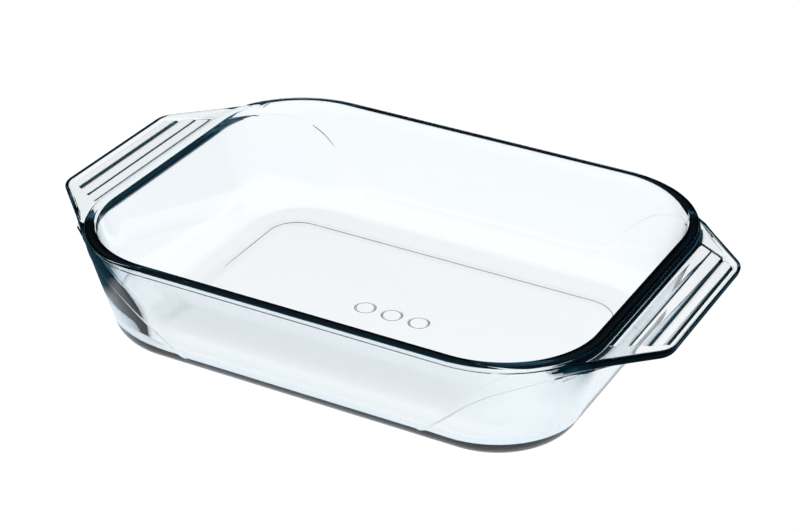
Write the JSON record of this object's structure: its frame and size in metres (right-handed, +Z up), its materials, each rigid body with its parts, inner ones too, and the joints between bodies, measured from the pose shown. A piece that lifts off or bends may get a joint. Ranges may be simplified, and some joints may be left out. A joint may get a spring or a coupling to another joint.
{
  "type": "rectangular glass roasting dish",
  "caption": "Clear glass rectangular roasting dish with rounded corners, a thick rim and two flat ribbed wing handles, for oven baking and serving.",
  "frame": {"origin": "centre of the dish's footprint, on the surface that it stands on", "axes": "+X along the length from the left handle to the right one, +Y from front to back, +Z up"},
  "size_m": [0.39, 0.25, 0.07],
  "materials": {
    "clear_glass": "fire-polished gloss"
  },
  "bodies": {
    "root": {"base": "clear_glass", "front_wall": "clear_glass", "back_wall": "clear_glass", "left_wall": "clear_glass", "right_wall": "clear_glass", "front_left_corner": "clear_glass", "front_right_corner": "clear_glass", "back_left_corner": "clear_glass", "back_right_corner": "clear_glass", "left_handle": "clear_glass", "right_handle": "clear_glass", "left_grip_ribs": "clear_glass", "right_grip_ribs": "clear_glass", "base_mark": "clear_glass"}
  },
  "joints": []
}
